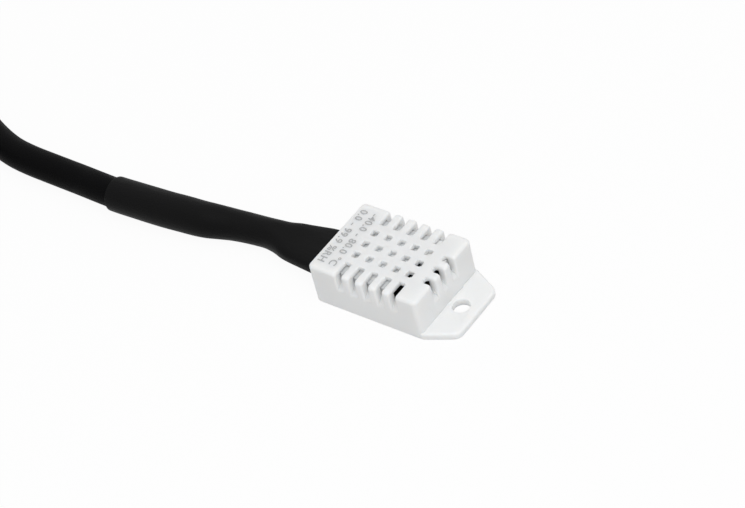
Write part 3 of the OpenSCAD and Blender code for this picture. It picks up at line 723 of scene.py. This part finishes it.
# The board: glass-fibre board under a white solder mask. It carries a pale grey pin header, whose four
# square tinned pins leave through the end of the case and are soldered down behind the header. The cable's
# cores are soldered to three of them.
solder_mask = grained("white_solder_mask", (0.78, 0.79, 0.78), (0.84, 0.85, 0.84), (0.22, 0.38), 900, 260,
                      0.00002)
header_plastic = grained("header_plastic", (0.58, 0.585, 0.58), (0.64, 0.645, 0.64), (0.45, 0.6), 2400, 200,
                         0.00003)
dress("circuit_board", solder_mask)
dress("pin_header", header_plastic)
for node in ("pin_1", "pin_2", "pin_3", "pin_4", "board_solder", "solder_joints"):
    dress(node, tin)
for colour, finish in insulation.items():
    dress("core_" + colour, finish)

# The humidity element: a pale grey ceramic plate with two silver combs under a thin moisture film. It lies
# close under the grille on a white holder that stands on the board, and two tinned straps join it to the
# board.
holder_plastic = grained("holder_plastic", (0.82, 0.825, 0.82), (0.86, 0.865, 0.86), (0.45, 0.6), 2000, 200,
                         0.00003)
ceramic = grained("fired_ceramic", (0.55, 0.565, 0.575), (0.61, 0.625, 0.635), (0.6, 0.8), 3600, 700,
                  0.00003)
silver_paste = grained("silver_paste", (0.6, 0.6, 0.59), (0.7, 0.7, 0.69), (0.5, 0.65), 4200, 900, 0.00003,
                       metallic=0.3)
moisture_film = grained("moisture_film", (0.73, 0.75, 0.765), (0.78, 0.8, 0.815), (0.3, 0.4), 800, 300,
                        0.00001)
moisture_film.node_tree.nodes["Principled BSDF"].inputs["Alpha"].default_value = 0.8
dress("element_frame", holder_plastic)
dress("humidity_substrate", ceramic)
dress("humidity_electrodes", silver_paste)
dress("sensing_film", moisture_film)
dress("element_leads", tin)

# The temperature element: a small thermistor dipped in a drop of black epoxy. It stands beside the humidity
# element on two thin tinned legs, which are soldered to the board.
epoxy = grained("black_epoxy", (0.006, 0.006, 0.007), (0.011, 0.011, 0.012), (0.18, 0.3), 1200, 500, 0.00003)
low, high = (Vector(corner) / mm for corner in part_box("thermistor_bead"))
bead_r, bead_fullness = (high.x - low.x) / 2, 0.7
bead_steps, bead_sides = 15, 24
bead_x, bead_y = (low.x + high.x) / 2, (low.y + high.y) / 2
bead_turns = [2 * math.pi * k / bead_sides for k in range(bead_sides)]
bead_rings = []
for k in range(bead_steps):
    t = math.pi * (k + 0.5) / bead_steps
    z = low.z + (high.z - low.z) * (1 - math.cos(t)) / 2
    r = bead_r * math.sin(t) ** bead_fullness
    bead_rings.append([Vector((bead_x + r * math.cos(turn), bead_y + r * math.sin(turn), z))
                       for turn in bead_turns])
bead = skin("epoxy_bead", bead_rings)
bead.data.materials.append(epoxy)
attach(bead, "root")
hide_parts("thermistor_bead")
dress("thermistor_leads", tin)

# The controller: a moulded black chip with a parting line round its middle, on two rows of seven bent
# and tinned leads.
compound = grained("moulding_compound", (0.008, 0.008, 0.0085), (0.014, 0.014, 0.0145), (0.5, 0.65), 2600,
                   400, 0.00004, specular=0.25)
low, high = (Vector(corner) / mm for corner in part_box("controller_chip"))
chip_middle = (low + high) / 2
chip_draft, chip_edge_r = 0.09, 0.07


def eased_block(low, high, draft, r):
    """A block in millimetres with drafted sides that meet at a parting line, and with eased edges."""
    shape = bmesh.new()
    loops = []
    for z, inset in ((low.z, draft), ((low.z + high.z) / 2, 0), (high.z, draft)):
        left, near_side, right, far_side = low.x + inset, low.y + inset, high.x - inset, high.y - inset
        dots = [(left, near_side), (right, near_side), (right, far_side), (left, far_side)]
        loops.append([shape.verts.new((x, y, z)) for x, y in dots])
    for a, b in zip(loops, loops[1:]):
        for k in range(4):
            shape.faces.new((a[k], a[k - 3], b[k - 3], b[k]))
    shape.faces.new(loops[0][::-1])
    shape.faces.new(loops[-1])
    ease_edges(shape, sharp, r, 2)
    return shape


chip = finished("controller_body", eased_block(low, high, chip_draft, chip_edge_r))
chip.data.materials.append(compound)
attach(chip, "root")
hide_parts("controller_chip")


def repeat_in_row():
    """Geometry Nodes group: copies of a part in a straight row."""
    group = bpy.data.node_groups.new("repeat_in_row", "GeometryNodeTree")
    new = group.interface.new_socket
    new("Geometry", in_out="OUTPUT", socket_type="NodeSocketGeometry")
    new("Part", in_out="INPUT", socket_type="NodeSocketObject")
    new("Count", in_out="INPUT", socket_type="NodeSocketInt")
    new("Step", in_out="INPUT", socket_type="NodeSocketVector")
    new("Finish", in_out="INPUT", socket_type="NodeSocketMaterial")
    source = group.nodes.new("NodeGroupInput")
    result = group.nodes.new("NodeGroupOutput")
    line = group.nodes.new("GeometryNodeMeshLine")
    line.mode = "OFFSET"
    part = group.nodes.new("GeometryNodeObjectInfo")
    copies = group.nodes.new("GeometryNodeInstanceOnPoints")
    real = group.nodes.new("GeometryNodeRealizeInstances")
    dressed = group.nodes.new("GeometryNodeSetMaterial")
    join(group, source, "Count", line, "Count")
    join(group, source, "Step", line, "Offset")
    join(group, source, "Part", part, "Object")
    join(group, line, "Mesh", copies, "Points")
    join(group, part, "Geometry", copies, "Instance")
    join(group, copies, "Instances", real, "Geometry")
    join(group, real, "Geometry", dressed, "Geometry")
    join(group, source, "Finish", dressed, "Material")
    join(group, dressed, "Geometry", result, "Geometry")
    return group


row_group = repeat_in_row()


def row_of(name, part, count, step, finish, node):
    """A row of like parts as one plain piece. The part itself is used up."""
    piece = bpy.data.objects.new(name, bpy.data.meshes.new(name))
    scene.collection.objects.link(piece)
    row = piece.modifiers.new("row", "NODES")
    row.node_group = row_group
    sockets = row_group.interface.items_tree
    inputs = {item.name: item.identifier for item in sockets if item.in_out == "INPUT"}
    row[inputs["Part"]] = part
    row[inputs["Count"]] = count
    row[inputs["Step"]] = Vector(step) * mm
    row[inputs["Finish"]] = finish
    plain(piece)
    bpy.data.objects.remove(part)
    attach(piece, "root")
    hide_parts(node)


lead_count, lead_step = 7, 1.27
lead_w, lead_t = 0.4, 0.2
low, high = (Vector(corner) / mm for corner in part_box("controller_leads"))
foot_out, shoulder_out, shoulder_up, bend_step = high.x - chip_middle.x, 1.95, 0.95, 0.08
lead_route_out = [(foot_out, lead_t / 2), (shoulder_out + 0.62, lead_t / 2), (shoulder_out + 0.45, lead_t),
                  (shoulder_out + 0.4, 0.5), (shoulder_out + 0.35, shoulder_up - 0.12),
                  (shoulder_out + 0.22, shoulder_up), (shoulder_out, shoulder_up)]
line = smooth_line([Vector((out, 0, height)) for out, height in lead_route_out], bend_step)
for side, row_name in ((1, "leads_ear_side"), (-1, "leads_cable_side")):
    rings = []
    for i, point in enumerate(line):
        way = (line[min(i + 1, len(line) - 1)] - line[max(i - 1, 0)]).normalized()
        over = Vector((-way.z, 0, way.x)) * lead_t / 2
        half = Vector((0, lead_w / 2, 0))
        place = Vector((chip_middle.x + side * point.x, low.y + lead_w / 2, low.z + point.z))
        over.x *= side
        rings.append([place + over + half, place - over + half, place - over - half, place + over - half])
    lead = skin("bent_lead", rings)
    for face in lead.data.polygons:
        face.use_smooth = False
    row_of(row_name, lead, lead_count, (0, lead_step, 0), tin, "controller_leads")

# The small parts: chip resistors and chip capacitors, each a ceramic body with a tinned cap on both ends,
# soldered in a row beside the humidity element.
cap_l, cap_over, part_edge_r = 0.3, 0.02, 0.05
part_l = 1.6
resistor_body = grained("resistor_glaze", (0.008, 0.008, 0.009), (0.016, 0.016, 0.017), (0.28, 0.42), 1800,
                        700, 0.00002)
capacitor_body = grained("capacitor_ceramic", (0.4, 0.31, 0.22), (0.5, 0.4, 0.29), (0.35, 0.5), 2400, 800,
                         0.00003)
part_kinds = (("resistor", "chip_resistors", 3, resistor_body, "chip_black"),
              ("capacitor", "chip_capacitors", 2, capacitor_body, "capacitor"))
for kind, node, count, finish, slot in part_kinds:
    low, high = (Vector(corner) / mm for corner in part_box(node))
    step = (high.x - low.x - part_l) / (count - 1)
    inner_low = low + Vector((cap_over, cap_over, cap_over))
    inner_high = Vector((low.x + part_l - cap_over, high.y - cap_over, high.z - cap_over))
    body = finished(kind, eased_block(inner_low, inner_high, 0, part_edge_r))
    row_of(kind + "_bodies", body, count, (step, 0, 0), finish, node)
    for end, start in (("first", low.x), ("second", low.x + part_l - cap_l)):
        cap_low, cap_high = Vector((start, low.y, low.z)), Vector((start + cap_l, high.y, high.z))
        cap = finished(kind, eased_block(cap_low, cap_high, 0, part_edge_r))
        row_of(kind + "_" + end + "_caps", cap, count, (step, 0, 0), tin, node)

# The marking: two lines of small pale grey figures, burnt into the face by a laser. They give the
# measuring ranges, with their units.
mark_lines = (("-40.0 - 80.0 °C", -6.55), ("0.0 - 99.9 %RH", -8.6))
mark_h, mark_sunk, mark_proud = 1.25, 0.02, 0.006
size_per_height, stroke_spread, letter_space = 1.4, 0.03, 1.12
mark_grey = grained("laser_mark", (0.42, 0.425, 0.43), (0.56, 0.565, 0.57), (0.55, 0.7), 5200, 2400, 0.00002)
marks = bmesh.new()
for words, x in mark_lines:
    text = bpy.data.curves.new("marking", "FONT")
    text.body = words
    text.size = mark_h * size_per_height
    text.offset = stroke_spread
    text.space_character = letter_space
    text.align_x = "CENTER"
    text.align_y = "CENTER"
    text.extrude = (mark_sunk + mark_proud) / 2
    holder = bpy.data.objects.new("marking", text)
    scene.collection.objects.link(holder)
    mesh = bpy.data.meshes.new_from_object(holder.evaluated_get(bpy.context.evaluated_depsgraph_get()))
    bpy.data.objects.remove(holder)
    lift = body_h + (mark_proud - mark_sunk) / 2
    mesh.transform(Matrix.Translation((x, 0, lift)) @ Matrix.Rotation(-math.pi / 2, 4, "Z"))
    marks.from_mesh(mesh)
marking = placed("range_marking", marks)
marking.data.transform(Matrix.Scale(mm, 4))
marking.data.materials.append(mark_grey)
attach(marking, "root")

# The table: a plain white sheet with no visible edge, in a white room. Both show white to the camera, and
# the table keeps a faint shadow under the object.
sheet_reach = 4
shadow_share = 0.06
sheet_corners = [(x * sheet_reach, y * sheet_reach, 0) for x, y in ((-1, -1), (1, -1), (1, 1), (-1, 1))]
table_mesh = bpy.data.meshes.new("table")
table_mesh.from_pydata(sheet_corners, [], [(0, 1, 2, 3)])
table = bpy.data.objects.new("table", table_mesh)
scene.collection.objects.link(table)


def seen_share(tree, most):
    """A node whose value is the given share on a ray that sees the background, and 0 on other rays."""
    rays = tree.nodes.new("ShaderNodeLightPath")
    mirrored = tree.nodes.new("ShaderNodeMath")
    either = tree.nodes.new("ShaderNodeMath")
    share = tree.nodes.new("ShaderNodeMath")
    mirrored.operation = "MAXIMUM"
    either.operation = "MAXIMUM"
    share.operation = "MULTIPLY"
    share.inputs[1].default_value = most
    join(tree, rays, "Is Glossy Ray", mirrored, 0)
    join(tree, rays, "Is Transmission Ray", mirrored, 1)
    join(tree, rays, "Is Camera Ray", either, 0)
    join(tree, mirrored, 0, either, 1)
    join(tree, either, 0, share, 0)
    return share


sheet, tree, paper = material("white_sheet", (0.88, 0.88, 0.88), 0.9, specular=0)
white_glow = tree.nodes.new("ShaderNodeEmission")
white_glow.inputs["Strength"].default_value = 1
blend = tree.nodes.new("ShaderNodeMixShader")
join(tree, seen_share(tree, 1 - shadow_share), 0, blend, 0)
join(tree, paper, 0, blend, 1)
join(tree, white_glow, 0, blend, 2)
join(tree, blend, 0, tree.nodes["Material Output"], "Surface")
table.data.materials.append(sheet)

room_level = 0.46
world = bpy.data.worlds.new("white_room")
scene.world = world
world.use_nodes = True
tree = world.node_tree
room = tree.nodes["Background"]
room.inputs["Color"].default_value = (1, 1, 1, 1)
room.inputs["Strength"].default_value = room_level
backdrop = tree.nodes.new("ShaderNodeBackground")
backdrop.inputs["Color"].default_value = (1, 1, 1, 1)
blend = tree.nodes.new("ShaderNodeMixShader")
join(tree, seen_share(tree, 1), 0, blend, 0)
join(tree, room, 0, blend, 1)
join(tree, backdrop, 0, blend, 2)
join(tree, blend, 0, tree.nodes["World Output"], "Surface")

# The lights: a large softbox high above the camera and a little to its right, so that light falls into the
# openings, and a weaker one overhead. Each has its place, length, width and power.
softboxes = (("high_softbox", (0.24, -0.165, 0.53), 0.5, 0.5, 1.83),
             ("overhead_softbox", (-0.05, 0.15, 0.7), 0.7, 0.5, 0.62))
for name, place, length, width, power in softboxes:
    lamp = bpy.data.lights.new(name, "AREA")
    lamp.shape = "RECTANGLE"
    lamp.size = length
    lamp.size_y = width
    lamp.energy = power
    softbox = bpy.data.objects.new(name, lamp)
    softbox.location = place
    softbox.rotation_euler = (-softbox.location).to_track_quat("-Z", "Y").to_euler()
    scene.collection.objects.link(softbox)

scene.view_settings.view_transform = "Standard"
